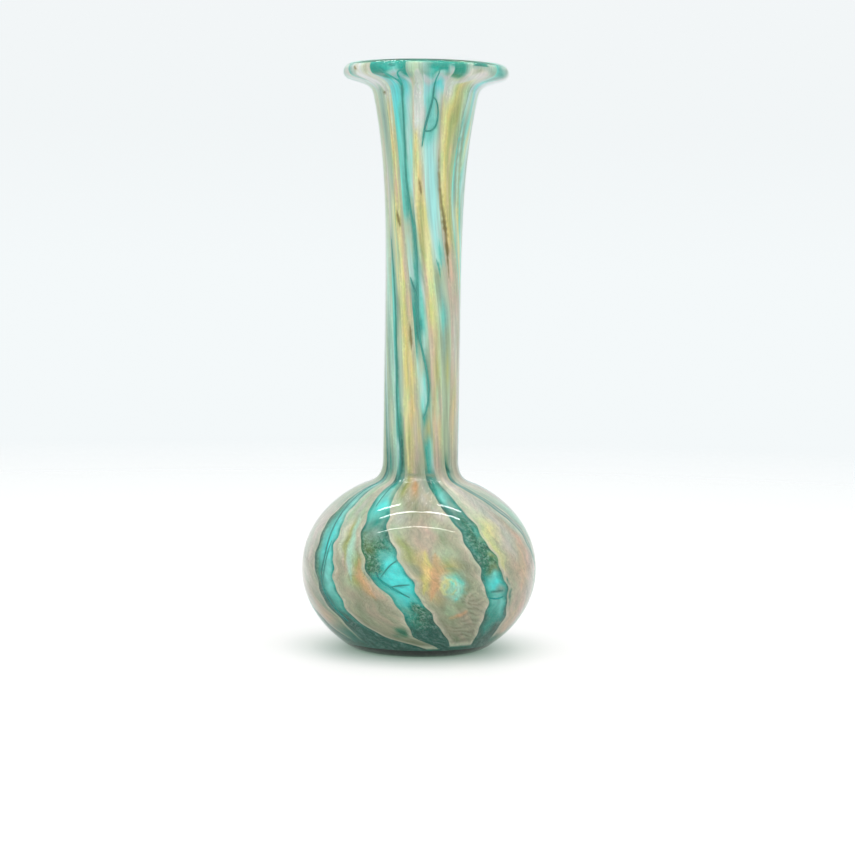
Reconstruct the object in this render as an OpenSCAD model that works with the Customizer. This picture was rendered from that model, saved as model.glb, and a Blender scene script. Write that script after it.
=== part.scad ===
// Long-necked hand-blown vase with a squat globe and a flared lip.
// The wall is hot-worked in layers, and every layer is a solid of its own:
//   inner_gather   the aqua bubble wall, from the foot up to the lip
//   ribbon_*       eight silvered tan ribbons picked up on the gather
//   band_*         the eight aqua bands that fill the space between them
//   thread_*       dark glass threads let into the outside of four bands
//   outer_casing   the clear skin over everything but the foot, which is ground flat through it
// +Z is up, the axis of the vase is the Z axis, and the table is at z = 0.
// Angles are measured round the axis from the front (-Y), towards +X.

/* [Overall] */
// Height from the table to the top of the lip
total_h = 187.5; // [184:0.5:194]
// Radius of the flat foot
foot_r = 19.5; // [17:0.5:21]
// Outside radius of the lip
lip_r = 26.5; // [25.5:0.1:28]
// Radius of the rounded edge of the lip
lip_bead_r = 2.3; // [2.1:0.1:2.5]

/* [Globe] */
// Outside radius of the globe
globe_r = 38; // [37:0.1:40]
// Height of the widest part of the globe
globe_z = 26; // [25:0.5:27]
// Half of the globe's height, if it were whole
globe_half_h = 31.1; // [30.5:0.1:32]
// Wall at the widest part of the globe
globe_wall = 3; // [2.8:0.1:3.4]
// Glass under the bubble, at the middle of the foot
floor_wall = 7; // [6.5:0.1:8]

/* [Neck] */
// Outside radius of the straight neck
neck_r = 12.15; // [11.9:0.05:12.6]
// Wall of the straight neck
neck_wall = 2.25; // [2.2:0.05:2.6]
// Height where the straight neck begins
neck_low_z = 61.5; // [60.5:0.5:63]
// Height where the neck begins to flare
neck_high_z = 101; // [96:1:106]
// How much wider the neck is where it meets the lip
flare_r = 4.7; // [4.3:0.1:5]

/* [Layers] */
// Thickness of the clear outer casing
casing_t = 0.65; // [0.6:0.05:0.7]
// Thickness of the layer that holds the ribbons and bands
pattern_t = 0.85; // [0.75:0.05:0.85]
// Depth of a thread, which lies in the outside of its band
thread_t = 0.35; // [0.25:0.05:0.4]

/* [Hidden] */

$fn = 128;

// Room left for the chords of the pattern layer beside the true surfaces
outer_room = 0.06;
inner_room = 0.2;

// Heights where the flare ends and the lip begins, and the middle of the lip's edge
flare_z = total_h - 9.3;
bead_r = lip_r - lip_bead_r;
bead_z = total_h - lip_bead_r;

// Each outline is [foot radius, foot height, globe radius, globe height, half height,
//   start angle, end angle, neck radius, flare, lip's start angle, shoulder pulls, lip pulls]
outer_shape = [foot_r, 0, globe_r, globe_z, globe_half_h,
    -47, 60, neck_r, flare_r, -72, [3.5, 7.3], [3.4, 3.8]];
inner_shape = [14, floor_wall, globe_r - globe_wall, globe_z + 0.5, globe_half_h - 3.6,
    -34, 60, neck_r - neck_wall, flare_r - 0.2, 115, [3.5, 7.5], [5, 3]];

// Heights at which the layout of the ribbons is set
levels = [2, 8, 16, 28, 42, 58, 105, 145, 187];

// Middle of each ribbon at those heights, in degrees round the axis
ribbon_mid = [
    [-41, -50, -65, -77, -81, -81, -100, -109, -112],
    [12, -13, -23, -35, -41, -46, -65, -80, -82],
    [31, 26, 21, 13, 2, -8, -25, -43, -47],
    [60, 62, 64, 61, 50, 33, 18, -7, -8],
    [96, 100, 101, 100, 88, 67, 67, 33, 39],
    [140, 150, 152, 152, 140, 124, 114, 108, 118],
    [232, 226, 217, 205, 202, 200, 203, 206, 208],
    [264, 262, 258, 253, 250, 244, 230, 229, 229]];

// Width of each ribbon at those heights, in degrees
ribbon_wide = [
    [9, 19, 26, 33, 34, 34, 26, 18, 22],
    [8, 20, 31, 21, 16, 16, 25, 29, 27],
    [16, 20, 31, 36, 39, 31, 23, 17, 10],
    [12, 19, 26, 34, 32, 20, 19, 18, 12],
    [12, 24, 33, 36, 33, 34, 34, 22, 38],
    [8, 16, 20, 30, 30, 28, 30, 34, 36],
    [8, 18, 26, 28, 28, 30, 28, 26, 22],
    [8, 14, 18, 18, 20, 18, 12, 10, 10]];

// Where a thread lies across its band, as shares of the band's width, with its sloped sides
thread_cut = [0.44, 0.46, 0.54, 0.56];
// Bands 2 to 5 carry the threads
threaded = [2, 3, 4, 5];

tan_glass = [0.70, 0.66, 0.56];
aqua_glass = [0.25, 0.74, 0.70, 0.75];
deep_aqua = [0.10, 0.52, 0.50, 0.80];
clear_glass = [0.78, 0.93, 0.92, 0.35];
dark_glass = [0.05, 0.30, 0.29];

// ---- outlines -------------------------------------------------------------------

function unit(v) = v / norm(v);

// Point t of the way along a cubic curve
function bezier(a, b, c, d, t) =
    pow(1 - t, 3) * a + 3 * pow(1 - t, 2) * t * b + 3 * (1 - t) * t * t * c + t * t * t * d;

function bezier_run(a, b, c, d, n) = [for (i = [1:n]) bezier(a, b, c, d, i / n)];

function globe_point(s, a) = [s[2] * cos(a), s[3] + s[4] * sin(a)];
function globe_along(s, a) = unit([-s[2] * sin(a), s[4] * cos(a)]);
function bead_point(a) = [bead_r + lip_bead_r * cos(a), bead_z + lip_bead_r * sin(a)];

function flare_point(s, t) = [s[7] + s[8] * pow(t, 3.6), neck_high_z + (flare_z - neck_high_z) * t];

// Steps in each stretch of an outline. The pattern layer takes every second point
fine = 2;
corner_n = 4 * fine;
globe_n = 16 * fine;
shoulder_n = 5 * fine;
flare_n = 6 * fine;
flange_n = 5 * fine;
bead_n = 8 * fine;

// The foot, from its flat up to the globe
function foot_run(s) =
    let (end = globe_point(s, s[5]), along = globe_along(s, s[5]))
    bezier_run([s[0], s[1]], [s[0] + 2.5, s[1]], end - 1.5 * along, end, corner_n);

// The globe, up to where the shoulder leaves it
function globe_run(s) = [for (i = [1:globe_n]) globe_point(s, s[5] + (s[6] - s[5]) * i / globe_n)];

// The shoulder, drawn in to the straight neck
function shoulder_run(s) =
    let (from = globe_point(s, s[6]), along = globe_along(s, s[6]), to = [s[7], neck_low_z])
    bezier_run(from, from + s[10][0] * along, to - [0, s[10][1]], to, shoulder_n);

// The flare of the neck
function flare_run(s) = [for (i = [0:flare_n]) flare_point(s, i / flare_n)];

// The flange, turned out to the edge of the lip
function flange_run(s) =
    let (from = flare_point(s, 1),
        along = unit([3.6 * s[8], flare_z - neck_high_z]),
        to = bead_point(s[9]),
        out = s[9] < 90 ? [-sin(s[9]), cos(s[9])] : [sin(s[9]), -cos(s[9])])
    bezier_run(from, from + s[11][0] * along, to - s[11][1] * out, to, flange_n);

// The edge of the lip, round to its crest
function bead_run(s) = [for (i = [1:bead_n]) bead_point(s[9] + (90 - s[9]) * i / bead_n)];

function outline(s) = concat([[s[0], s[1]]], foot_run(s), globe_run(s), shoulder_run(s),
    flare_run(s), flange_run(s), bead_run(s));

outside = outline(outer_shape);
inside = outline(inner_shape);
last = len(outside) - 1;

// First and last points of the outline that the pattern layer covers
pattern_first = 3 * fine;
pattern_last = last - 4 * fine;
// Point where the casing begins, just above the flat of the foot
skin_first = fine;
// The points either side of the straight neck
neck_first = corner_n + globe_n + shoulder_n;
neck_steps = 7;

// A point a depth below the outside, and no deeper than a share of the wall
function below(i, depth, most) =
    let (way = inside[i] - outside[i], full = norm(way))
    outside[i] + way * (full == 0 ? 0 : min(depth / full, most));

function casing_back(i) = below(i, casing_t, 0.3);
function gather_face(i) = below(i, casing_t + pattern_t, 0.62);
function seam(i) = below(i, casing_t + pattern_t / 2, 0.46);

// ---- the two turned layers ------------------------------------------------------

// Clear casing: a thin skin that meets the gather at the foot and again at the lip
module outer_casing() {
    color(clear_glass)
    rotate_extrude()
    polygon(concat(
        [for (i = [skin_first:last]) outside[i]],
        [for (i = [last - 1:-1:pattern_last + 1]) seam(i)],
        [for (i = [pattern_last:-1:pattern_first]) casing_back(i)],
        [for (i = [pattern_first - 1:-1:skin_first + 1]) seam(i)]));
}

// Aqua gather: the foot, the bubble over its thick floor, and the inside of the neck and lip
module inner_gather() {
    color(aqua_glass)
    rotate_extrude()
    polygon(concat(
        [[0, 0]],
        [for (i = [0:skin_first]) outside[i]],
        [for (i = [skin_first + 1:pattern_first - 1]) seam(i)],
        [for (i = [pattern_first:pattern_last]) gather_face(i)],
        [for (i = [pattern_last + 1:last - 1]) seam(i)],
        [for (i = [last:-1:0]) inside[i]],
        [[0, floor_wall]]));
}

// ---- the pattern layer ----------------------------------------------------------

// Smooth value at height z through the values set at the levels
function slope(v, i) =
    i == 0 || i == len(levels) - 1 ? 0
    : (v[i + 1] - v[i - 1]) / (levels[i + 1] - levels[i - 1]);
function level_below(z) = max([for (i = [0:len(levels) - 2]) z >= levels[i] ? i : 0]);
function at_height(v, z) =
    let (i = level_below(z), h = levels[i + 1] - levels[i],
        t = max(0, min(1, (z - levels[i]) / h)))
    (2 * pow(t, 3) - 3 * t * t + 1) * v[i] + (pow(t, 3) - 2 * t * t + t) * h * slope(v, i)
    + (3 * t * t - 2 * pow(t, 3)) * v[i + 1] + (pow(t, 3) - t * t) * h * slope(v, i + 1);

// Stations up the wall: [outline point before, share of the way to the next]
stations = concat(
    [for (i = [pattern_first:fine:neck_first - 1]) [i, 0]],
    [for (i = [0:neck_steps - 1]) [neck_first, i / neck_steps]],
    [for (i = [neck_first + 1:fine:pattern_last]) [i, 0]]);

function on_station(s, points) = points[0] * (1 - s[1]) + points[1] * s[1];
function next(s) = min(s[0] + 1, last);
function station_out(s) = on_station(s, [below(s[0], casing_t + outer_room, 0.32),
    below(next(s), casing_t + outer_room, 0.32)]);
function station_in(s) = on_station(s, [below(s[0], casing_t + pattern_t - inner_room, 0.58),
    below(next(s), casing_t + pattern_t - inner_room, 0.58)]);
function station_z(s) = on_station(s, [outside[s[0]], outside[next(s)]])[1];

// Edges of ribbon k, counted from 1, at a station
function ribbon_left(k, s) =
    at_height(ribbon_mid[k - 1], station_z(s)) - at_height(ribbon_wide[k - 1], station_z(s)) / 2;
function ribbon_right(k, s) =
    at_height(ribbon_mid[k - 1], station_z(s)) + at_height(ribbon_wide[k - 1], station_z(s)) / 2;

// Band k lies between ribbon k - 1 and ribbon k
function band_left(k, s) = k == 1 ? ribbon_right(8, s) - 360 : ribbon_right(k - 1, s);
function band_right(k, s) = ribbon_left(k, s);

// A point at radius and height p, turned by an angle from the front
function turned(p, a) = [p[0] * sin(a), -p[0] * cos(a), p[1]];

// A closed piece of the layer. Its columns are [share of the width, how far below the outside]
module wall_piece(edges, columns) {
    m = len(columns);
    n = len(stations);
    function column_angle(e, c) = e[0] + (e[1] - e[0]) * c[0];
    outer_points = [for (j = [0:n - 1], c = columns)
        let (o = station_out(stations[j]), i = station_in(stations[j]))
        turned(o + (i - o) * c[1], column_angle(edges[j], c))];
    inner_points = [for (j = [0:n - 1], c = columns)
        turned(station_in(stations[j]), column_angle(edges[j], c))];
    function out_at(j, c) = j * m + c;
    function in_at(j, c) = n * m + j * m + c;
    skin = [for (j = [0:n - 2], c = [0:m - 2]) each [
        [out_at(j, c), out_at(j + 1, c), out_at(j + 1, c + 1)],
        [out_at(j, c), out_at(j + 1, c + 1), out_at(j, c + 1)],
        [in_at(j, c), in_at(j + 1, c + 1), in_at(j + 1, c)],
        [in_at(j, c), in_at(j, c + 1), in_at(j + 1, c + 1)]]];
    sides = [for (j = [0:n - 2]) each [
        [out_at(j, 0), in_at(j + 1, 0), out_at(j + 1, 0)],
        [out_at(j, 0), in_at(j, 0), in_at(j + 1, 0)],
        [out_at(j, m - 1), out_at(j + 1, m - 1), in_at(j + 1, m - 1)],
        [out_at(j, m - 1), in_at(j + 1, m - 1), in_at(j, m - 1)]]];
    ends = [for (c = [0:m - 2]) each [
        [out_at(0, c), out_at(0, c + 1), in_at(0, c + 1)],
        [out_at(0, c), in_at(0, c + 1), in_at(0, c)],
        [out_at(n - 1, c), in_at(n - 1, c + 1), out_at(n - 1, c + 1)],
        [out_at(n - 1, c), in_at(n - 1, c), in_at(n - 1, c + 1)]]];
    polyhedron(concat(outer_points, inner_points), concat(skin, sides, ends), convexity = 10);
}

// Tan ribbon k
module ribbon(k) {
    color(tan_glass)
    wall_piece([for (s = stations) [ribbon_left(k, s), ribbon_right(k, s)]],
        [for (i = [0:4]) [i / 4, 0]]);
}

function has_thread(k) = len(search(k, threaded)) > 0;
function thread_share() = thread_t / (pattern_t - inner_room - outer_room);

// Aqua band k, with a groove if it carries a thread
module band(k) {
    plain = [[0, 0], [0.33, 0], [0.67, 0], [1, 0]];
    grooved = [[0, 0], [thread_cut[0], 0], [thread_cut[1], thread_share()],
        [thread_cut[2], thread_share()], [thread_cut[3], 0], [1, 0]];
    color(has_thread(k) ? deep_aqua : aqua_glass)
    wall_piece([for (s = stations) [band_left(k, s), band_right(k, s)]],
        has_thread(k) ? grooved : plain);
}

// Dark thread that fills the groove of band k
module thread_in(k) {
    n = len(stations);
    // Corners of the section: top left, top right, bottom right, bottom left
    corners = [[thread_cut[0], 0], [thread_cut[3], 0],
        [thread_cut[2], thread_share()], [thread_cut[1], thread_share()]];
    points = [for (s = stations, c = corners)
        let (o = station_out(s), i = station_in(s), l = band_left(k, s), r = band_right(k, s))
        turned(o + (i - o) * c[1], l + (r - l) * c[0])];
    around = [for (j = [0:n - 2], c = [0:3]) let (d = (c + 1) % 4) each [
        [4 * j + c, 4 * j + 4 + c, 4 * j + 4 + d],
        [4 * j + c, 4 * j + 4 + d, 4 * j + d]]];
    ends = [[0, 1, 2], [0, 2, 3], [4 * n - 4, 4 * n - 2, 4 * n - 3], [4 * n - 4, 4 * n - 1, 4 * n - 2]];
    color(dark_glass) polyhedron(points, concat(around, ends), convexity = 4);
}

// ---- the vase -------------------------------------------------------------------

inner_gather();
outer_casing();
for (k = [1:8]) {
    ribbon(k);
    band(k);
}
for (k = [1:4])
    thread_in(threaded[k - 1]);
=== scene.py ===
"""Looks for the hand-blown bud vase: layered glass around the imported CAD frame."""
import math

import bmesh
import bpy
import numpy as np
from mathutils import Euler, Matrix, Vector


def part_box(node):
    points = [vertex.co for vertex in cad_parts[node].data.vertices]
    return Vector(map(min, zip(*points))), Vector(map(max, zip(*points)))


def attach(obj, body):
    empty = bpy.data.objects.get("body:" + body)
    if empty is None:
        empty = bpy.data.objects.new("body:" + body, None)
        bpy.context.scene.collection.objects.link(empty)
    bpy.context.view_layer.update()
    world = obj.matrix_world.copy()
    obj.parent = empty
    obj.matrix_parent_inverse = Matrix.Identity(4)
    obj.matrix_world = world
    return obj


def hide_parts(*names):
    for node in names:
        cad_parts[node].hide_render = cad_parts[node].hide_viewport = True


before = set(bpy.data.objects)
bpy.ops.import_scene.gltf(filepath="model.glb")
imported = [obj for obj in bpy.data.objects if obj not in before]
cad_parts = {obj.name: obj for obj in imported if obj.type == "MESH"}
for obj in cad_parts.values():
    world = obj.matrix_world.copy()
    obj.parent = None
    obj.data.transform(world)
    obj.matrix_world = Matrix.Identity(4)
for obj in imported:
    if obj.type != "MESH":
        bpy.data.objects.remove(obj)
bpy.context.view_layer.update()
MM = 0.001

# ---- driving dimensions, in millimetres ----

CASING_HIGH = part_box("outer_casing")[1]
TOTAL_H = CASING_HIGH.z / MM
GLOBE_R = CASING_HIGH.x / MM
LIP_R = 26.5
BEAD_R = 2.3
BEAD_MID_R = LIP_R - BEAD_R
BEAD_MID_Z = TOTAL_H - BEAD_R
NECK_LOW_Z, NECK_HIGH_Z = 61.5, 101.0
# Where the look of the globe gives way to the look of the neck
SHOULDER_Z = (50.0, 62.0)
FLARE_Z = TOTAL_H - 9.3
FLARE_POWER = 3.6
FLOOR_WALL = 7.0
# Just under the least radius of the pattern
LEAST_R = 10.5
CASING_T = 0.65
PATTERN_T = 0.85
# Room between fused pieces, so that no two faces lie in the same place
GAP = 0.02

OUTER = {"foot_r": 19.5, "foot_z": 0.0, "globe_r": GLOBE_R, "globe_z": 26.0, "half_h": 31.1,
         "start": -47, "end": 60, "neck_r": 12.15, "flare": 4.7, "lip_from": -72,
         "shoulder": (3.5, 7.3), "lip": (3.4, 3.8)}
INNER = {"foot_r": 14.0, "foot_z": FLOOR_WALL, "globe_r": GLOBE_R - 3, "globe_z": 26.5, "half_h": 27.5,
         "start": -34, "end": 60, "neck_r": 9.9, "flare": 4.5, "lip_from": 115,
         "shoulder": (3.5, 7.5), "lip": (5, 3)}

# Steps in each stretch of an outline
CORNER_N, GLOBE_N, SHOULDER_N, NECK_N, FLARE_N, FLANGE_N, BEAD_N = 16, 100, 20, 40, 76, 20, 32
SEGMENTS = 256

# ---- the outlines ----


def unit(v):
    return v / np.hypot(*v)


def bezier(a, b, c, d, steps):
    """The points of a cubic curve after its first one."""
    t = np.linspace(0, 1, steps + 1)[1:, None]
    return (1 - t) ** 3 * a + 3 * (1 - t) ** 2 * t * b + 3 * (1 - t) * t * t * c + t**3 * d


def polar(mid, size, degrees):
    a = np.radians(degrees)
    return np.stack([mid[0] + size[0] * np.cos(a), mid[1] + size[1] * np.sin(a)], -1)


def outline(shape):
    """One side of the wall as (radius, height) points, from the foot to the crest of the lip."""
    globe_mid = (0, shape["globe_z"])
    globe_size = (shape["globe_r"], shape["half_h"])

    def globe_way(degrees):
        a = math.radians(degrees)
        return unit(np.array([-globe_size[0] * math.sin(a), globe_size[1] * math.cos(a)]))

    foot = np.array([shape["foot_r"], shape["foot_z"]])
    low = polar(globe_mid, globe_size, shape["start"])
    corner = bezier(foot, foot + (2.5, 0), low - 1.5 * globe_way(shape["start"]), low, CORNER_N)
    globe = polar(globe_mid, globe_size, np.linspace(shape["start"], shape["end"], GLOBE_N + 1)[1:])
    top = globe[-1]
    neck = np.array([shape["neck_r"], NECK_LOW_Z])
    pull_out, pull_in = shape["shoulder"]
    shoulder = bezier(top, top + pull_out * globe_way(shape["end"]), neck - (0, pull_in), neck, SHOULDER_N)
    heights = np.linspace(NECK_LOW_Z, NECK_HIGH_Z, NECK_N + 1)[1:]
    straight = np.stack([np.full(NECK_N, shape["neck_r"]), heights], -1)
    t = np.linspace(0, 1, FLARE_N + 1)[1:]
    flare = np.stack([shape["neck_r"] + shape["flare"] * t**FLARE_POWER,
                      NECK_HIGH_Z + (FLARE_Z - NECK_HIGH_Z) * t], -1)
    way = unit(np.array([FLARE_POWER * shape["flare"], FLARE_Z - NECK_HIGH_Z]))
    bead_mid, bead_size = (BEAD_MID_R, BEAD_MID_Z), (BEAD_R, BEAD_R)
    bead_start = polar(bead_mid, bead_size, shape["lip_from"])
    a = math.radians(shape["lip_from"])
    turn = 1 if shape["lip_from"] < 90 else -1
    bead_way = turn * np.array([-math.sin(a), math.cos(a)])
    lip_out, lip_in = shape["lip"]
    flange = bezier(flare[-1], flare[-1] + lip_out * way, bead_start - lip_in * bead_way, bead_start,
                    FLANGE_N)
    bead = polar(bead_mid, bead_size, np.linspace(shape["lip_from"], 90, BEAD_N + 1)[1:])
    return np.concatenate([[foot], corner, globe, shoulder, straight, flare, flange, bead])


OUTSIDE = outline(OUTER)
INSIDE = outline(INNER)
LAST = len(OUTSIDE) - 1
# The casing begins just above the flat of the foot
SKIN_FIRST = CORNER_N // 4
PATTERN_FIRST = CORNER_N * 3 // 4
PATTERN_LAST = LAST - BEAD_N // 2


def below(depth, most):
    """Every point of the outline moved a depth into the wall, and no further than a share of it."""
    way = INSIDE - OUTSIDE
    full = np.maximum(np.hypot(way[:, 0], way[:, 1]), 1e-9)
    return OUTSIDE + way * np.minimum(depth / full, most)[:, None]


# The middle of the pattern layer, where the casing meets the gather beyond the pattern's ends
SEAM = below(CASING_T + PATTERN_T / 2, 0.46)
CASING_BACK = below(CASING_T, 0.3)
GATHER_FACE = below(CASING_T + PATTERN_T, 0.62)
PATTERN_OUT = below(CASING_T + GAP, 0.31)
PATTERN_IN = below(CASING_T + PATTERN_T - GAP, 0.61)

# ---- mesh building ----


def new_piece(name, verts, faces):
    mesh = bpy.data.meshes.new(name)
    mesh.from_pydata([tuple(v) for v in verts], [], faces)
    mesh.update()
    piece = bpy.data.objects.new(name, mesh)
    bpy.context.scene.collection.objects.link(piece)
    return piece


def finish_mesh(piece, sharp=40):
    """Outward normals and smooth shading, with the edges of the solid kept crisp."""
    bm = bmesh.new()
    bm.from_mesh(piece.data)
    bmesh.ops.recalc_face_normals(bm, faces=bm.faces)
    bm.to_mesh(piece.data)
    bm.free()
    piece.data.shade_smooth()
    piece.data.set_sharp_from_angle(angle=math.radians(sharp))


def swept(profile):
    """The points that (radius, height) points sweep round the axis, ring by ring."""
    angles = np.linspace(0, 2 * math.pi, SEGMENTS, endpoint=False)
    return [(radius * math.sin(a), -radius * math.cos(a), height)
            for radius, height in profile for a in angles]


def ring_faces(low, high, count):
    """The faces between two rings of points, each given by its first point."""
    return [(low + i, high + i, high + (i + 1) % count, low + (i + 1) % count) for i in range(count)]


def fan_faces(tip, ring, count):
    return [(tip, ring + i, ring + (i + 1) % count) for i in range(count)]


def lathe(name, profile):
    """A closed solid turned from (radius, height) points whose first and last are on the axis.
    The faces come ring by ring, from the first stretch of the profile to the last."""
    verts = [(0, 0, profile[0][1]), *swept(profile[1:-1]), (0, 0, profile[-1][1])]
    last = len(verts) - 1
    faces = fan_faces(0, 1, SEGMENTS)
    for low in range(1, last - SEGMENTS, SEGMENTS):
        faces += ring_faces(low, low + SEGMENTS, SEGMENTS)
    faces += fan_faces(last, last - SEGMENTS, SEGMENTS)
    return new_piece(name, np.array(verts) * MM, faces)


def lathe_ring(name, profile):
    """A closed ring turned from a closed loop of (radius, height) points."""
    verts = swept(profile)
    faces = []
    for low in range(0, len(verts), SEGMENTS):
        faces += ring_faces(low, (low + SEGMENTS) % len(verts), SEGMENTS)
    return new_piece(name, np.array(verts) * MM, faces)


def place(piece, slot, *nodes):
    """The piece rides on the vase's one body, and stands for its CAD nodes."""
    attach(piece, "root")
    if nodes:
        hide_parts(*nodes)


# ---- materials ----


class Nodes:
    """A short way to make the nodes of a new material, or of a world."""

    def __init__(self, name, world=None):
        self.owner = world or bpy.data.materials.new(name)
        self.owner.use_nodes = True
        self.tree = self.owner.node_tree
        self.tree.nodes.clear()
        self.out = self.tree.nodes.new("ShaderNodeOutput" + ("World" if world else "Material"))

    def add(self, kind, settings=None, **inputs):
        node = self.tree.nodes.new("ShaderNode" + kind)
        for key, value in (settings or {}).items():
            setattr(node, key, value)
        for key, value in inputs.items():
            self.feed(node.inputs[int(key[1:]) if key[0] == "i" and key[1:].isdigit()
                                  else key.replace("_", " ")], value)
        return node

    def feed(self, socket, value):
        if isinstance(value, bpy.types.NodeSocket):
            self.tree.links.new(value, socket)
        else:
            socket.default_value = value

    def surface(self, shader):
        self.feed(self.out.inputs["Surface"], shader.outputs[0])

    def volume(self, shader):
        self.feed(self.out.inputs["Volume"], shader.outputs[0])

    def attribute(self, name):
        return self.add("Attribute", {"attribute_name": name})


def glass_mix(n, solid, clear, share):
    """A surface that is solid in some places and clear in others."""
    n.surface(n.add("MixShader", i0=share, i1=clear.outputs[0], i2=solid.outputs[0]))


def scaled(n, value, low, high, to_low, to_high):
    """A value moved from one range to another, and held inside it."""
    return n.add("MapRange", i0=value, i1=low, i2=high, i3=to_low, i4=to_high).outputs[0]


def mixed_colour(n, share, first, second, way="MIX"):
    node = n.add("Mix", {"data_type": "RGBA", "blend_type": way}, i0=share, i6=first, i7=second)
    return node.outputs[2]


def mixed_value(n, share, first, second):
    return n.add("Mix", {"data_type": "FLOAT"}, i0=share, i2=first, i3=second).outputs[0]


def maths(n, operation, *values):
    inputs = {f"i{number}": value for number, value in enumerate(values)}
    return n.add("Math", {"operation": operation}, **inputs).outputs[0]


def noise(n, at, scale, detail, **more):
    return n.add("TexNoise", Vector=at, Scale=scale, Detail=detail, **more).outputs["Fac"]


def ridged(n, value, reach):
    """1 along the lines where a noise crosses its middle, falling to 0 at a reach from them."""
    apart = maths(n, "ABSOLUTE", maths(n, "SUBTRACT", value, 0.5))
    return scaled(n, apart, 0.0, reach, 1.0, 0.0)


def toned(n, colour, level):
    """A colour made darker or lighter by a level."""
    grey = n.add("CombineColor", i0=level, i1=level, i2=level).outputs[0]
    return mixed_colour(n, 1.0, colour, grey, "MULTIPLY")


def neck_share(n, flow):
    """0 on the globe and 1 up the neck."""
    height = n.add("SeparateXYZ", i0=flow).outputs[1]
    return scaled(n, height, *SHOULDER_Z, 0.0, 1.0)


def streaks(n, flow, scale, detail, roughness):
    """Noise drawn out into fine streaks along the neck."""
    drawn = n.add("Mapping", i0=flow, Scale=(1.0, 0.04, 1.0)).outputs[0]
    return noise(n, drawn, scale, detail, Roughness=roughness)


def make_clear_glass():
    """Clear glass with the faint waves that the last shaping leaves."""
    n = Nodes("clear_casing_glass")
    wave = noise(n, n.add("TexCoord").outputs["Object"], 60.0, 1.0)
    bump = n.add("Bump", Strength=0.25, Distance=0.0002, Height=wave)
    n.surface(n.add("BsdfPrincipled", Base_Color=(1, 1, 1, 1), Roughness=0.01, IOR=1.5,
                    Transmission_Weight=1.0, Normal=bump.outputs["Normal"]))
    return n.owner


def make_fused_face():
    """Where two layers of glass have fused, there is nothing to see."""
    n = Nodes("fused_face")
    n.surface(n.add("BsdfTransparent", Color=(1, 1, 1, 1)))
    return n.owner


def make_aqua_glass():
    """Aqua glass whose colour deepens with the light's way through it. Only its bubble side meets air."""
    n = Nodes("aqua_gather_glass")
    glass = n.add("BsdfPrincipled", Base_Color=(1, 1, 1, 1), Roughness=0.01, IOR=1.5,
                  Transmission_Weight=1.0)
    fused = n.add("BsdfTransparent", Color=(1, 1, 1, 1))
    glass_mix(n, glass, fused, n.attribute("meets_air").outputs["Fac"])
    n.volume(n.add("VolumeAbsorption", Color=(0.06, 0.945, 0.915, 1), Density=950.0))
    return n.owner


def ripples(n, flow):
    """Darker and lighter wrinkles where a ribbon is rippled, and nothing elsewhere."""
    rippled = scaled(n, n.attribute("frost").outputs["Fac"], 0.2, 0.95, 0.0, 0.3)
    wave = n.add("TexWave", {"bands_direction": "Y"}, Vector=flow, Scale=0.17, Distortion=9.0,
                 Detail=1.0, Detail_Scale=1.2).outputs["Fac"]
    return maths(n, "MULTIPLY", scaled(n, wave, 0.0, 1.0, -0.6, 0.4), rippled)


def make_ribbon_glass():
    """Silvered tan glass: the paint on each point, drawn into fine streaks up the neck, and clouded, lined
    with folds and rippled in the globe, with a painted sheen along one side of each fold line."""
    n = Nodes("silvered_tan_glass")
    paint = n.attribute("paint")
    flow = n.attribute("flow").outputs["Vector"]
    in_neck = neck_share(n, flow)
    pulled = n.add("Mapping", i0=flow, Scale=(1.0, 0.5, 1.0)).outputs[0]
    cloud = noise(n, pulled, 0.42, 5.0, Roughness=0.62, Distortion=0.6)
    streak = streaks(n, flow, 1.5, 2.5, 0.55)
    tone = mixed_value(n, in_neck, scaled(n, cloud, 0.3, 0.7, 0.84, 1.12),
                       scaled(n, streak, 0.3, 0.7, 0.8, 1.16))
    fold = noise(n, pulled, 0.8, 2.0, Roughness=0.5, Distortion=2.0)
    line_darkness = scaled(n, in_neck, 0.0, 1.0, -0.24, -0.05)
    darkened_lines = maths(n, "MULTIPLY_ADD", ridged(n, fold, 0.05), line_darkness, tone)
    # Painted sheen: the paint is lighter on one side of each dark fold line.
    lines_and_sheen = maths(n, "ADD", darkened_lines, scaled(n, fold, 0.56, 0.66, 0.0, 0.13))
    level = maths(n, "ADD", lines_and_sheen, ripples(n, flow))
    drift = noise(n, pulled, 0.21, 3.0, Roughness=0.6)
    warmth = scaled(n, drift, 0.38, 0.62, 0.0, 1.0)
    cast = mixed_colour(n, warmth, (0.89, 1.0, 0.89, 1), (1.03, 0.98, 0.94, 1))
    colour = mixed_colour(n, 1.0, toned(n, paint.outputs["Color"], level), cast, "MULTIPLY")
    bump = n.add("Bump", Strength=0.3, Distance=0.0003, Height=cloud)
    solid = n.add("BsdfPrincipled", Base_Color=colour, Roughness=0.42, Specular_IOR_Level=0.1,
                  Normal=bump.outputs[0])
    clear = n.add("BsdfTransparent", Color=(0.95, 0.88, 0.72, 1))
    glass_mix(n, solid, clear, paint.outputs["Alpha"])
    return n.owner


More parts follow.
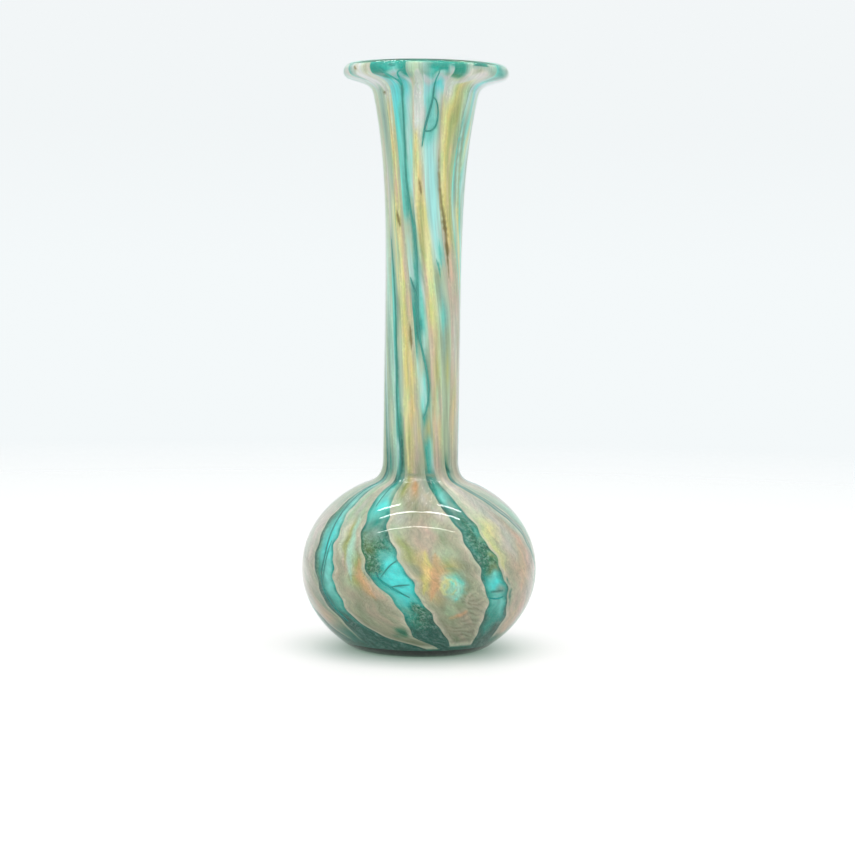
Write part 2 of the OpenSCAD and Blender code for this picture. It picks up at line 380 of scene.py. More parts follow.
def make_band_glass():
    """Aqua band glass. Where it is crazed, silver shows in it as bright threads and specks."""
    n = Nodes("aqua_band_glass")
    paint = n.attribute("paint")
    flow = n.attribute("flow").outputs["Vector"]
    crazed = scaled(n, n.attribute("frost").outputs["Fac"], 0.0, 0.9, 0.0, 1.0)
    tangle = noise(n, flow, 0.42, 2.0, Roughness=0.6, Distortion=2.5)
    grit = noise(n, flow, 0.85, 3.0, Roughness=0.75)
    patch = noise(n, flow, 0.4, 2.0)
    lines = maths(n, "MULTIPLY", ridged(n, tangle, 0.05), 0.9)
    bright = maths(n, "MAXIMUM", scaled(n, grit, 0.53, 0.62, 0.0, 1.0), lines)
    patchy = maths(n, "MULTIPLY", bright, scaled(n, patch, 0.35, 0.6, 0.25, 1.0))
    silver = maths(n, "MULTIPLY", patchy, crazed)
    streak = streaks(n, flow, 1.3, 2.0, 0.5)
    clean = mixed_value(n, neck_share(n, flow), scaled(n, patch, 0.3, 0.7, 0.84, 1.14),
                        scaled(n, streak, 0.3, 0.7, 0.84, 1.14))
    level = mixed_value(n, crazed, clean, scaled(n, grit, 0.36, 0.56, 0.5, 1.1))
    shadow_and_tone = toned(n, paint.outputs["Color"], level)
    colour = mixed_colour(n, maths(n, "MULTIPLY", silver, 0.6), shadow_and_tone, (0.6, 0.86, 0.74, 1))
    solid = n.add("BsdfPrincipled", Base_Color=colour, Roughness=0.3, Specular_IOR_Level=0.0)
    clear = n.add("BsdfTransparent", Color=(0.86, 0.98, 0.96, 1))
    glass_mix(n, solid, clear, paint.outputs["Alpha"])
    return n.owner


def make_thread_glass():
    """Dark thread glass, paler up the neck, where more light comes through it."""
    n = Nodes("dark_thread_glass")
    place_at = n.add("TexCoord").outputs["Object"]
    grain = noise(n, place_at, 300.0, 2.0)
    low = mixed_colour(n, grain, (0.01, 0.2, 0.18, 1), (0.03, 0.4, 0.36, 1))
    high = mixed_colour(n, grain, (0.03, 0.31, 0.27, 1), (0.09, 0.54, 0.46, 1))
    height = n.add("SeparateXYZ", i0=place_at).outputs[2]
    in_neck = scaled(n, height, 50 * MM, 75 * MM, 0.0, 1.0)
    n.surface(n.add("BsdfPrincipled", Base_Color=mixed_colour(n, in_neck, low, high), Roughness=0.3,
                    Specular_IOR_Level=0.0))
    return n.owner


# ---- the two turned pieces ----


def make_casing():
    """Clear skin: its outside meets air, and the rest of it is fused to the layers inside."""
    back = [SEAM[i] for i in range(LAST - 1, PATTERN_LAST, -1)]
    back += [CASING_BACK[i] for i in range(PATTERN_LAST, PATTERN_FIRST - 1, -1)]
    back += [SEAM[i] for i in range(PATTERN_FIRST - 1, SKIN_FIRST, -1)]
    front = OUTSIDE[SKIN_FIRST:]
    piece = lathe_ring("clear_casing", [*front, *back])
    piece.data.materials.append(make_clear_glass())
    piece.data.materials.append(make_fused_face())
    for face in piece.data.polygons[(len(front) - 1) * SEGMENTS:]:
        face.material_index = 1
    finish_mesh(piece)
    place(piece, "clear_casing", "outer_casing")


def make_gather():
    """Aqua gather: the foot and the bubble. Its fused side is the one that meets no air."""
    foot = OUTSIDE[:SKIN_FIRST + 1]
    fused = [*SEAM[SKIN_FIRST + 1:PATTERN_FIRST], *GATHER_FACE[PATTERN_FIRST:PATTERN_LAST + 1],
             *SEAM[PATTERN_LAST + 1:LAST]]
    profile = [(0, 0), *foot, *fused, *INSIDE[::-1], (0, FLOOR_WALL)]
    piece = lathe("aqua_gather", profile)
    piece.data.materials.append(make_aqua_glass())
    foot_end = len(foot) * SEGMENTS
    fused_end = foot_end + (len(fused) + 1) * SEGMENTS
    meets_air = np.ones(len(piece.data.polygons), np.float32)
    meets_air[foot_end:fused_end] = 0
    layer = piece.data.attributes.new("meets_air", "FLOAT", "FACE")
    layer.data.foreach_set("value", meets_air)
    finish_mesh(piece)
    place(piece, "aqua_gather", "inner_gather")


# ---- the pattern layer ----

# Columns of faces across a strip, on the near side and the far one
RIBBON_COLUMNS, FAR_RIBBON_COLUMNS = 48, 24
BAND_COLUMNS, FAR_BAND_COLUMNS = 36, 28

# Heights at which the layout of the ribbons is set
LEVELS = np.array([2, 8, 16, 28, 42, 58, 105, 145, 187])

# Middle and width of each ribbon at those heights, in degrees round the axis from the front
RIBBON_MID = [
    [-41, -50, -65, -77, -81, -81, -100, -109, -112],
    [12, -13, -23, -35, -41, -46, -65, -80, -82],
    [31, 26, 21, 13, 2, -8, -25, -43, -47],
    [60, 62, 64, 61, 50, 33, 18, -7, -8],
    [96, 100, 101, 100, 88, 67, 67, 33, 39],
    [140, 150, 152, 152, 140, 124, 114, 108, 118],
    [232, 226, 217, 205, 202, 200, 203, 206, 208],
    [264, 262, 258, 253, 250, 244, 230, 229, 229]]
RIBBON_WIDE = [
    [9, 19, 26, 33, 34, 34, 26, 18, 22],
    [8, 20, 31, 21, 16, 16, 25, 29, 27],
    [16, 20, 31, 36, 39, 31, 23, 17, 10],
    [12, 19, 26, 34, 32, 20, 19, 18, 12],
    [12, 24, 33, 36, 33, 34, 34, 22, 38],
    [8, 16, 20, 30, 30, 28, 30, 34, 36],
    [8, 18, 26, 28, 28, 30, 28, 26, 22],
    [8, 14, 18, 18, 20, 18, 12, 10, 10]]

STATIONS = np.arange(PATTERN_FIRST, PATTERN_LAST + 1)
THREAD_LINE = below(CASING_T * 0.58, 0.2)
STATION_Z = OUTSIDE[STATIONS, 1]


def smooth(edge0, edge1, x):
    """0 below the first edge, 1 beyond the second, and a smooth rise between."""
    t = np.clip((x - edge0) / (edge1 - edge0), 0, 1)
    return t * t * (3 - 2 * t)


def at_heights(values, z):
    """A smooth curve through the values set at the levels."""
    values = np.array(values, float)
    slopes = np.zeros(len(LEVELS))
    slopes[1:-1] = (values[2:] - values[:-2]) / (LEVELS[2:] - LEVELS[:-2])
    i = np.clip(np.searchsorted(LEVELS, z, side="right") - 1, 0, len(LEVELS) - 2)
    h = LEVELS[i + 1] - LEVELS[i]
    t = np.clip((z - LEVELS[i]) / h, 0, 1)
    return ((2 * t**3 - 3 * t**2 + 1) * values[i] + (t**3 - 2 * t**2 + t) * h * slopes[i]
            + (3 * t**2 - 2 * t**3) * values[i + 1] + (t**3 - t**2) * h * slopes[i + 1])


def ribbon_edges(k):
    """Left and right edge of ribbon k, counted from 0, at every station, in degrees. In the globe
    the hot glass has pulled them a little out of true."""
    mid = at_heights(RIBBON_MID[k], STATION_Z)
    half = at_heights(RIBBON_WIDE[k], STATION_Z) / 2
    reach = 0.8 * smooth(4, 9, STATION_Z) * (1 - smooth(44, 54, STATION_Z))
    left_pull = reach * (np.sin(0.62 * STATION_Z + 2.1 * k) + 0.6 * np.sin(1.27 * STATION_Z + 3.4 * k))
    right_pull = reach * (np.sin(0.55 * STATION_Z + 1.3 * k + 1) + 0.6 * np.sin(1.13 * STATION_Z + 2.9 * k))
    return mid - half + left_pull, mid + half + right_pull


def band_edges(k):
    """Edges of band k, which lies between ribbon k - 1 and ribbon k."""
    left = ribbon_edges(7)[1] - 360 if k == 0 else ribbon_edges(k - 1)[1]
    return left, ribbon_edges(k)[0]


def turned(points, degrees):
    """Points of the outline turned to an angle from the front, towards +X."""
    a = np.radians(degrees)
    return np.stack([points[..., 0] * np.sin(a), -points[..., 0] * np.cos(a),
                     points[..., 1] + 0 * a], -1)


def wall_piece(name, edges, columns, paint):
    """A closed strip of the pattern layer, as a loop of points at every station. paint gives the state
    of each point, as a word does, from its height, angle, place, share of the way across and
    distance from the edge."""
    left, right = edges
    even = np.linspace(0, 1, columns + 1)
    share = 0.5 * even + 0.25 * (1 - np.cos(np.pi * even))
    angle = left[:, None] + (right - left)[:, None] * share[None, :]
    outer, inner, middle = (turned(np.repeat(rows[STATIONS][:, None], len(share), 1), angle)
                            for rows in (PATTERN_OUT, PATTERN_IN, SEAM))
    verts = there_and_back(outer, inner).reshape(-1, 3) * MM
    around = 2 * len(share)
    last = len(verts) - around
    faces = []
    for low in range(0, last, around):
        faces += ring_faces(low, low + around, around)
    for row in (0, last):
        faces += [(row + c, row + c + 1, row + around - 2 - c, row + around - 1 - c) for c in range(columns)]
    piece = new_piece(name, verts, faces)
    width = np.radians(right - left)[:, None] * OUTSIDE[STATIONS, 0][:, None]
    across = share[None, :] * width
    from_edge = np.minimum(across, width - across)
    height = STATION_Z[:, None] + 0 * across
    state = paint(height, angle, middle, share[None, :] + 0 * across, from_edge)
    colour = under_glass(state[..., :3], height)
    add_layer(piece, "paint", "FLOAT_COLOR", "color", np.concatenate([colour, state[..., 3:4]], -1))
    add_layer(piece, "frost", "FLOAT", "value", state[..., 4:])
    add_layer(piece, "flow", "FLOAT_VECTOR", "vector", np.stack([across, height, 0 * height], -1))
    finish_mesh(piece)
    return piece


def there_and_back(outer, inner):
    """The loop round each station: across the strip's outer face, and back across its inner one."""
    return np.concatenate([outer, inner[:, ::-1]], 1)


def add_layer(piece, label, kind, field, values):
    """Store values for the points of both faces of a strip."""
    layer = piece.data.attributes.new(label, kind, "POINT")
    layer.data.foreach_set(field, there_and_back(values, values).astype(np.float32).ravel())


# ---- the paint on the pattern layer ----
# Colours are written as they look through the clear skin, from 0 to 255

# Light that the skin mirrors by itself, and light that falls on the vase from its surroundings
SKIN_SHINE = 0.045
TENT_LIGHT = 1.03
# Share of the paint's light that the skin lets out, and share that it sends back in
LET_OUT = 0.364
KEPT_IN = 0.6
DARKEST, PALEST = 0.004, 0.98
# How much brighter light from behind makes the neck and the flange, and the heights where it sets in
NECK_LIFT, NECK_LIFT_Z = 0.22, (58, 75)
FLANGE_LIFT, FLANGE_LIFT_Z = 0.3, (168, 180)

# The words of the pattern: red, green, blue, how solid the glass is, and how much it is crazed, in a
# band, or rippled, in a ribbon
WORDS = {
    "white": (250, 249, 243, 0.96, 0), "cream": (236, 230, 204, 0.94, 0), "milk": (220, 216, 206, 0.92, 0),
    "straw": (232, 226, 144, 0.92, 0), "gold": (222, 202, 114, 0.92, 0), "amber": (226, 184, 112, 0.92, 0),
    "orange": (216, 158, 118, 0.92, 0), "peach": (214, 174, 146, 0.9, 0), "rose": (194, 168, 152, 0.9, 0),
    "mist": (198, 195, 187, 0.88, 0), "beige": (196, 190, 164, 0.88, 0), "stone": (168, 163, 140, 0.88, 0),
    "putty": (148, 150, 126, 0.88, 0), "drab": (124, 136, 112, 0.88, 0), "tan": (198, 180, 128, 0.88, 0),
    "olive": (160, 164, 104, 0.88, 0), "sage": (172, 198, 160, 0.88, 0), "moss": (134, 154, 120, 0.88, 0.1),
    "mint": (168, 232, 206, 0.9, 0), "umber": (98, 88, 62, 0.92, 0), "window": (84, 238, 228, 0.93, 0),
    "aqua": (112, 222, 204, 0.9, 0), "pale": (170, 232, 214, 0.92, 0), "sky": (140, 222, 218, 0.92, 0),
    "teal": (94, 192, 174, 0.88, 0.1), "lagoon": (60, 142, 126, 0.86, 0.25), "deep": (26, 92, 84, 0.9, 0.4),
    "night": (30, 98, 90, 0.93, 0.45), "craze": (46, 108, 88, 0.9, 1.0), "fern": (84, 112, 74, 0.9, 0.8),
    "slate": (124, 158, 144, 0.88, 0.1), "rim": (34, 116, 102, 0.9, 0.1),
    "ripple": (158, 156, 134, 0.88, 1.0), "glow": (244, 206, 128, 0.95, 0), "edge": (208, 205, 182, 0.9, 0)}

# What each ribbon shows at each height in mm, from its left edge to its right edge
# In the second and third tables the putty and drab rows low on the globe are painted shade, darker towards
# the foot. The pale and white row at 181.8 mm, under the lip, is a painted reflection.
RIBBON_GRAIN = [
    {3.4: "night", 6: "slate deep", 12: "mist peach stone moss", 17: "mist mist stone slate",
     24: "mist milk mist stone", 40: "mist milk milk mist", 52: "mist sage slate", 60: "slate sage moss",
     100: "sage slate sage", 150: "mist sage beige", 187: "milk beige milk"},
    {2.6: "night", 3.6: "cream", 5: "beige drab putty", 8: "putty drab drab putty",
     12: "putty drab putty beige", 18: "beige putty putty putty beige", 21: "beige stone putty peach beige",
     25: "beige stone sage olive orange beige", 30: "beige stone rose mint olive orange",
     36: "mist beige cream olive mint stone beige", 41: "sage mist cream olive mint beige beige",
     46: "mint sage mist sage beige", 52: "mint sage beige stone", 60: "lagoon slate mint",
     72: "slate sage pale", 95: "sage slate pale", 120: "mist pale sage", 150: "mist sage beige",
     178: "slate sage beige", 181.8: "slate pale pale", 183.4: "lagoon slate mist",
     187: "lagoon teal slate"},
    {3.4: "night", 4.4: "cream", 6: "beige putty drab ripple ripple putty beige",
     10: "beige putty ripple ripple ripple ripple beige",
     14: "beige putty putty ripple ripple ripple beige", 18: "beige putty putty moss ripple ripple beige",
     22: "beige tan putty mint moss ripple beige", 26: "beige tan orange mint aqua putty beige",
     30: "beige putty amber orange olive putty beige", 34: "beige olive tan rose sage stone beige",
     38: "beige olive stone rose moss stone beige", 42: "beige sage stone rose sage stone beige",
     46: "beige mist stone stone stone mist beige", 50: "beige sage stone stone mist beige beige",
     53.5: "beige olive beige orange beige mist slate", 57: "slate olive tan rose putty putty slate",
     62: "moss straw tan tan rose stone stone", 70: "stone straw olive tan rose tan stone",
     80: "beige straw tan amber tan stone sage", 90: "sage gold gold tan amber tan sage",
     100: "sage straw gold amber tan beige sage", 110: "moss straw gold tan peach tan stone",
     120: "sage straw straw gold peach rose stone", 130: "sage sage straw straw tan stone sage",
     140: "slate gold tan straw stone sage", 150: "sage tan peach straw stone sage",
     160: "slate straw amber straw tan sage", 172: "slate straw tan cream tan sage",
     181.8: "white milk cream mist", 183.4: "milk stone milk", 187: "milk putty stone"},
    {3.4: "night", 5: "deep moss", 8: "beige peach mist", 14: "beige peach rose mist",
     20: "beige beige rose mist mist", 28: "beige stone peach rose mist", 36: "straw beige mist peach mist",
     42: "sage straw mist stone mint", 48: "sage cream mist mist slate", 54: "mist cream mist stone",
     60: "stone rose stone sage", 70: "tan rose tan sage", 80: "stone tan sage stone beige",
     90: "rose tan olive sage", 100: "rose peach tan sage", 110: "peach gold straw sage",
     120: "slate peach straw straw sage", 130: "sage olive olive straw straw",
     140: "cream amber olive gold straw", 150: "beige straw amber tan mist",
     160: "sage amber straw beige pale", 165: "sage gold cream pale", 169: "peach white white white",
     179: "peach white white white pale", 181.8: "peach cream white pale", 183.4: "slate sage slate",
     187: "slate sage slate"},
    {3.4: "night", 6: "moss stone", 14: "beige mist beige", 30: "mist beige mist sage",
     44: "slate mint mist beige", 58: "slate beige stone mist", 80: "stone tan mist stone",
     100: "rose mist stone mist", 115: "rose rose stone mist", 125: "stone peach stone sage",
     135: "stone beige gold olive sage", 145: "stone straw gold tan olive sage",
     160: "stone straw gold olive tan moss sage", 172: "tan straw gold olive olive sage slate",
     180: "cream cream gold tan sage slate", 181.8: "white cream white milk mist",
     183.4: "rim rim milk drab milk slate slate", 187: "rim rim slate milk drab slate milk teal"}]

# The same for each band, the first of them between ribbons 1 and 2
# Low on the globe the bands darken towards the foot: partly the deeper colour of the thick glass there,
# partly painted shade. The pale row at 181.8 mm, under the lip, is a painted reflection.
BAND_GRAIN = [
    {3.4: "night", 8: "night deep", 12: "deep deep lagoon", 16: "deep lagoon teal",
     22: "deep lagoon aqua teal", 28: "fern lagoon aqua aqua", 34: "fern teal window aqua",
     40: "fern teal window aqua", 46: "fern lagoon aqua mint", 52: "slate teal pale", 58: "deep slate",
     75: "lagoon slate pale", 100: "slate mist pale", 150: "sage mist", 187: "slate slate"},
    {3.4: "night", 5: "night deep night", 9: "deep night deep", 13: "lagoon craze deep",
     17: "teal craze craze", 20: "teal window teal", 23: "teal window window",
     27: "lagoon window window window", 30: "fern craze window window", 33: "fern craze teal window",
     36: "fern fern craze teal", 40: "fern slate craze", 43: "slate lagoon slate", 45.5: "teal teal lagoon",
     48: "teal window aqua", 52: "aqua aqua sage", 56: "deep lagoon slate", 60: "pale lagoon deep moss",
     66: "pale pale deep moss", 72: "teal lagoon moss", 80: "pale teal slate sage",
     90: "pale lagoon slate sage", 100: "aqua lagoon sage sage", 110: "aqua teal slate moss",
     120: "aqua teal slate straw", 130: "slate slate sage straw", 140: "mist sage straw",
     150: "mist sage slate", 165: "sage slate sage", 178: "sage slate sage", 181.8: "pale milk white cream",
     183.4: "lagoon slate stone milk", 187: "lagoon slate milk stone milk"},
    {3.4: "night", 6: "night deep night", 10: "deep lagoon deep night", 14: "deep lagoon teal deep",
     18: "lagoon teal aqua lagoon", 19.8: "teal aqua teal lagoon", 22: "lagoon teal slate lagoon",
     24.5: "teal window window lagoon", 27: "deep teal aqua lagoon", 29: "lagoon fern moss",
     32: "craze craze fern", 36: "lagoon craze craze", 40: "lagoon craze teal", 44: "slate craze slate",
     48: "deep slate lagoon", 52: "lagoon aqua teal slate", 56: "deep lagoon slate",
     60: "moss lagoon teal mist", 66: "moss lagoon teal sage", 71: "slate moss olive slate",
     76: "sage lagoon moss sage", 80: "sage aqua pale lagoon sage", 86: "sage pale aqua slate moss",
     92: "mint sage slate moss", 98: "lagoon sage mint moss", 104: "lagoon deep teal sage",
     110: "lagoon lagoon aqua teal stone", 116: "slate lagoon aqua aqua mist",
     122: "mint pale lagoon sky slate", 130: "sage mint sage lagoon sage", 136: "sage sage slate lagoon",
     142: "teal teal lagoon sage slate", 150: "aqua teal teal aqua pale", 160: "teal aqua teal pale aqua",
     172: "aqua window teal aqua pale sage", 180: "aqua window teal window sage",
     181.8: "pale window pale pale milk", 183.4: "rim rim teal rim", 185.6: "rim lagoon rim",
     187: "lagoon night rim"},
    {3.4: "night", 12: "moss", 30: "slate sage", 44: "slate mist", 52: "slate", 56: "lagoon slate",
     59: "deep moss", 66: "moss sage", 80: "sage moss sage", 90: "sage moss olive sage",
     100: "moss slate moss sage", 108: "sage teal slate sage", 116: "moss slate sage stone",
     121: "moss moss sage stone", 127: "sage pale aqua slate", 133: "straw pale sky pale slate",
     140: "sage sky sky pale", 150: "mint sky sky slate", 160: "pale sky sky pale stone",
     165.8: "aqua teal aqua stone", 168: "mist aqua aqua stone", 172: "mist aqua aqua sage stone",
     176: "sky teal aqua pale stone", 180: "sky aqua window aqua", 181.8: "white pale pale white",
     183.4: "slate teal rim rim milk", 185.6: "slate rim rim rim", 187: "stone night lagoon rim"},
    {3.4: "night", 10: "deep lagoon", 20: "lagoon aqua teal", 30: "craze window teal",
     40: "teal craze aqua", 50: "slate teal lagoon teal", 60: "moss lagoon teal deep",
     70: "sage slate pale lagoon teal", 85: "sage slate aqua straw sage teal",
     100: "sage mist teal pale gold sage aqua", 115: "sage slate pale teal straw sage aqua",
     130: "sage slate sage pale aqua straw sage teal", 140: "sage slate pale sage teal gold sage pale",
     150: "mint sage slate pale aqua straw slate aqua", 165: "sage slate moss pale straw aqua slate teal",
     178: "sage slate pale sage pale aqua sage pale", 181.8: "pale pale milk pale window pale",
     183.4: "slate mist slate rim teal", 187: "slate mist drab slate rim"},
    {3.4: "night", 6: "night deep night deep", 10: "deep lagoon deep night",
     15: "lagoon teal craze deep craze teal", 20: "teal window aqua craze lagoon teal",
     26: "aqua window teal lagoon window aqua", 32: "craze lagoon window window teal craze",
     38: "fern craze teal aqua craze lagoon", 44: "slate craze teal aqua lagoon slate teal",
     50: "teal aqua slate teal aqua slate", 56: "deep lagoon deep teal slate deep",
     62: "moss teal pale lagoon sage straw teal sage", 75: "sage pale lagoon sage gold tan slate pale",
     90: "straw sage teal pale sage gold sage teal", 105: "gold sage lagoon aqua pale sage straw mint",
     120: "sage mist teal pale sky lagoon sage straw", 135: "slate sage pale sky teal sage straw pale",
     150: "aqua teal sage pale sky straw sage teal", 165: "teal pale sage straw gold sage aqua teal",
     178: "aqua teal pale cream straw pale aqua teal", 181.8: "pale window pale milk pale window",
     183.4: "rim rim teal rim lagoon rim", 187: "lagoon night rim"}]

# Half the width of the haze under a thread, counted from the thread's radius
HAZE = 2.2
# How much of the grain a haze and a stroke cover in their middle
HAZE_STRENGTH, STROKE_STRENGTH = 0.36, 0.9

# The edge of a strip in the globe: its word, how far it reaches from the edge in mm, and its strength
RIBBON_RIM = ("edge", (0.45, 1.9), 0.68)
BAND_RIM = ("deep", (0.1, 1.7), 0.6)

# The far side repeats the grain of the near side, turned over
RIBBON_LIKE = (0, 1, 2, 3, 4, 3, 2, 1)
BAND_LIKE = (5, 0, 1, 2, 3, 4, 5, 1)

# Strokes over the grain: the word, half the width in mm, and the (angle, height) points of the way
STROKES = [
    ("orange", 0.9, (-30.5, 33), (-27.5, 26), (-20, 20.5)),
    ("mint", 0.7, (-37, 42), (-36.5, 34), (-33.5, 26)), ("olive", 0.3, (-40, 40), (-39, 34), (-37.5, 29)),
    ("stone", 3.6, (-26, 19), (-18, 13), (-4, 7.5)), ("craze", 1.6, (-12, 11), (-5, 8.5)),
    ("orange", 1.0, (-6, 55), (-4, 52.5)), ("gold", 1.1, (3, 36), (4, 30), (2.5, 23)),
    ("glow", 0.9, (3.6, 33), (4.2, 29.5), (3.4, 26.5)), ("orange", 1.3, (8, 35), (8, 28), (6, 21)),
    ("window", 1.2, (15, 27.5), (19.5, 25), (18, 21)), ("rose", 1.3, (4, 42), (6, 36)),
    ("mint", 1.1, (17.5, 27.5), (19.5, 24.5), (17, 21)), ("straw", 0.6, (12.5, 28), (14, 26), (12.5, 24)),
    ("moss", 0.35, (11, 30.5), (17, 30.5), (22, 27.5)), ("sage", 1.6, (14, 19), (19, 16.5)),
    ("orange", 0.7, (15, 14.8), (21, 15.8), (26, 17.5)), ("straw", 1.2, (33, 45), (40, 36), (46, 29)),
    ("peach", 1.3, (60, 37), (62, 30), (60, 22)), ("rose", 2.0, (57, 21), (57, 15)),
    ("deep", 0.7, (-63, 46), (-62, 38), (-60, 28), (-55, 21)), ("deep", 0.6, (-28, 31), (-23, 26.5)),
    ("night", 1.2, (-4, 9), (8, 7), (18, 4.5)), ("deep", 0.5, (37, 22.8), (45, 22.8)),
    ("deep", 0.8, (47, 27), (50.5, 20), (50, 12)), ("umber", 0.4, (-20, 105), (-18, 101), (-16.5, 97)),
    ("umber", 0.5, (-45, 141), (-42, 138), (-38, 136)),
    ("umber", 0.35, (-8.5, 151), (-6, 148.5), (-4.5, 146)),
    ("umber", 0.5, (19, 160), (21, 152), (26, 144), (32, 138), (37, 132), (40, 127), (44, 120)),
    ("umber", 0.5, (31, 139), (35, 134)), ("umber", 0.6, (37, 131.5), (41, 126.5)),
    # The white stroke across the shoulder at 55.5 mm is a painted highlight, the lamps' reflection in the
    # shoulder, and the drab stroke just above it is painted shade where the globe turns into the neck.
    ("umber", 0.4, (-54, 178.5), (-50, 178)), ("drab", 0.5, (-44, 56.6), (0, 57), (38, 56.6)),
    ("white", 0.35, (-24, 55.3), (0, 55.6), (24, 55.3)), ("moss", 0.8, (58, 168), (56, 155), (60, 140)),
    ("moss", 0.35, (51, 172), (50, 155), (55, 140)), ("mint", 0.4, (54, 172), (53, 155), (57, 142)),
    ("teal", 0.3, (24, 132), (27, 127), (30, 123)), ("lagoon", 0.3, (20, 126), (25, 123), (28, 120)),
    ("straw", 0.8, (-26, 84), (-24, 79), (-24, 74)), ("tan", 0.25, (-28, 84.6), (-22, 84.8)),
    ("deep", 0.6, (45, 58.5), (50, 58)), ("straw", 0.8, (9, 128), (11, 122), (13, 115)),
    ("umber", 0.4, (-60, 186), (-56, 185)), ("slate", 0.8, (32, 185.6), (44, 186), (52, 185)),
    ("deep", 0.35, (34, 186), (42, 186.2), (48, 186)), ("night", 0.5, (-26, 186), (-22, 185.4))]


def under_glass(seen, z):
    """The linear colour that paint needs to look like seen through the clear skin, which sends back
    a little white light of its own and lets the paint light itself from within."""
    level = np.clip(seen, 0, 255) / 255
    linear = np.where(level <= 0.04045, level / 12.92, ((level + 0.055) / 1.055) ** 2.4)
    # Painted light: the paint on the neck and the flange is made brighter for the light from behind.
    lift = NECK_LIFT * smooth(*NECK_LIFT_Z, z) + FLANGE_LIFT * smooth(*FLANGE_LIFT_Z, z)
    linear *= 1 + lift[..., None]
    from_paint = np.maximum(linear - SKIN_SHINE, DARKEST)
    return np.clip(from_paint / (LET_OUT * TENT_LIGHT + KEPT_IN * from_paint), 0, PALEST)


def blend(a, b, amount):
    """From state a to state b, point by point."""
    return a + (b - a) * amount[..., None]


def grain(rows, share, z):
    """The state of each point of a strip, from rows of words read across it and up it."""
    levels = np.array(list(rows), float)
    sheets = []
    for words in rows.values():
        states = np.array([WORDS[word] for word in words.split()], float)
        places = np.linspace(0, 1, len(states))
        sheets.append(np.stack([np.interp(share, places, states[:, i]) for i in range(5)], -1))
    sheets = np.array(sheets)
    step = np.clip(np.searchsorted(levels, z, side="right") - 1, 0, len(levels) - 2)
    row, column = np.indices(z.shape)
    t = smooth(levels[step], levels[step + 1], z)
    return blend(sheets[step, row, column], sheets[step + 1, row, column], t)


def ring_route(angle, height, radius):
    """A small circle on the globe, as (angle, height) points."""
    turn = np.radians(np.arange(0, 361, 30))
    spread = radius / np.interp(height, STATION_Z, OUTSIDE[STATIONS, 0])
    return [(angle + math.degrees(spread * math.cos(a)), height + radius * math.sin(a)) for a in turn]


# Rings over the strokes: the word, half the width, and the ring's angle, height and radius
RINGS = [("beige", 0.4, 28, 20.5, 2.8), ("straw", 0.4, 14.5, 25, 2.4)]


def uneven(points):
    """A smooth unevenness from -1 to 1, about two units across."""
    x, y, z = points[..., 0], points[..., 1], points[..., 2]
    return (np.sin(1.7 * x + 1.1 * z) + np.sin(1.3 * y - 1.9 * z + 2)
            + np.sin(0.9 * x - 1.6 * y + 2.3 * z + 4)) / 3


def laid(strokes, strength, state, angle, z, points):
    """The state of every point after the strokes, each tapered towards its ends."""
    for word, half, *route in strokes:
        route = np.array(route, float)
        reach = 2.0 * half
        near = (z > route[:, 1].min() - reach) & (z < route[:, 1].max() + reach)
        middle = route[:, 0].mean()
        gap = (angle - middle + 180) % 360 - 180
        widest = math.degrees(reach / LEAST_R) + np.ptp(route[:, 0]) / 2 + 2
        near &= np.abs(gap) < widest
        if not near.any():
            continue
        steps = np.linspace(0, len(route) - 1, 14 * len(route))
        way_angle = rounded(steps, route[:, 0])
        way_z = rounded(steps, route[:, 1])
        radius = np.interp(way_z, STATION_Z, SEAM[STATIONS, 0])
        way = turned(np.stack([radius, way_z], -1), way_angle)
        t = np.clip(steps / steps[-1], 0.01, 0.99)
        thick = half * (0.15 + 0.85 * np.sin(np.pi * t) ** 0.8)
        apart = np.linalg.norm(points[near][:, None] - way[None], axis=-1) / thick[None]
        apart = apart.min(1) * (1 + 0.45 * uneven(points[near] / max(half, 0.8)))
        share = strength * (1 - smooth(0.1, 2.0, apart))
        state[near] = blend(state[near], np.array(WORDS[word], float), share)
    return state


def painter(rows, turned_over, rim):
    """The paint of one strip of the pattern."""
    word, rim_reach, rim_strength = rim
    hazes = [("lagoon", HAZE * radius, *route) for _, radius, *route in THREADS]
    strokes = STROKES + [(name, half, *ring_route(*ring)) for name, half, *ring in RINGS]

    def paint(z, angle, points, share, from_edge):
        across = 1 - share if turned_over else share
        drift = 0.05 * np.sin(0.19 * z + 4 * share) + 0.03 * np.sin(0.47 * z + 9 * share)
        across = np.clip(across + drift * 4 * share * (1 - share), 0, 1)
        level = z + 0.9 * np.sin(7 * share + 0.8 * uneven(points / 3)) * smooth(8, 14, z)
        state = grain(rows, across, level)
        state = laid(hazes, HAZE_STRENGTH, state, angle, z, points)
        state = laid(strokes, STROKE_STRENGTH, state, angle, z, points)
        globe = (1 - smooth(*SHOULDER_Z, z)) * smooth(3, 8, z)
        covered = rim_strength + 0.25 * uneven(points / 2)
        amount = (1 - smooth(*rim_reach, from_edge)) * globe * covered
        return blend(state, np.array(WORDS[word], float), amount)

    return paint


# ---- the dark threads ----

